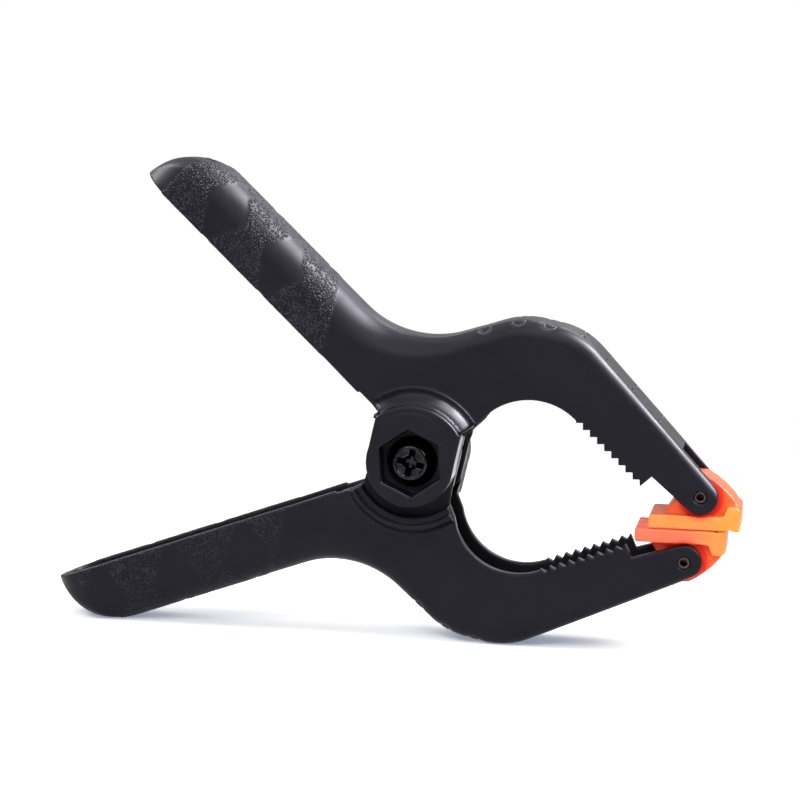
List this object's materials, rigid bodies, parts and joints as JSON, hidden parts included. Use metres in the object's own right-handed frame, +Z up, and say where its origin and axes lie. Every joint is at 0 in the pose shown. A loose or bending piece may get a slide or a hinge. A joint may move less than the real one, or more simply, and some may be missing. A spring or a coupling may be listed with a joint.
{
  "type": "spring clamp",
  "caption": "Black nylon spring clamp with two channel-section arms, toothed jaws, swivelling orange pads, a pivot screw with nut, and a torsion spring.",
  "frame": {"origin": "centre of the bounding box at its base: the clamp stands on its lower arm, with the handle end and the jaw's crest on the surface", "axes": "+X from the handles towards the jaw pads, +Y along the pivot axis towards the nut, +Z up"},
  "size_m": [0.106, 0.0228, 0.0722],
  "materials": {
    "black_nylon": "satin, leather grain on the handles",
    "orange_pad": "soft semi-gloss",
    "black_steel": "black oxide, semi-gloss",
    "pin_steel": "dull bright",
    "spring_steel": "bright drawn wire"
  },
  "bodies": {
    "lower_arm_assembly": {"lower_arm": "black_nylon", "torsion_spring": "spring_steel", "pivot_screw": "black_steel", "pivot_nut": "black_steel", "lower_pad_pin": "pin_steel"},
    "upper_arm_assembly": {"upper_arm": "black_nylon", "upper_pad_pin": "pin_steel"},
    "upper_jaw_pad": {"upper_pad": "orange_pad"},
    "lower_jaw_pad": {"lower_pad": "orange_pad"}
  },
  "joints": [
    {"name": "arm_pivot", "type": "hinge", "parent": "lower_arm_assembly", "child": "upper_arm_assembly", "pos_m": [0.00322, 0, 0.02783], "axis": [0, -1, 0], "range_deg": [0, 52], "stiffness_Nm_per_rad": 0.6, "springref_deg": -45.84, "deforming": ["torsion_spring"]},
    {"name": "upper_pad_swivel", "type": "hinge", "parent": "upper_arm_assembly", "child": "upper_jaw_pad", "pos_m": [0.04679, 0, 0.02451], "axis": [0, 1, 0], "range_deg": [0, 23]},
    {"name": "lower_pad_swivel", "type": "hinge", "parent": "lower_arm_assembly", "child": "lower_jaw_pad", "pos_m": [0.0448, 0, 0.0144], "axis": [0, 1, 0], "range_deg": [0, 23]}
  ],
  "couplings": [
    {"joint": "lower_pad_swivel", "follows": "upper_pad_swivel", "ratio": 1}
  ]
}
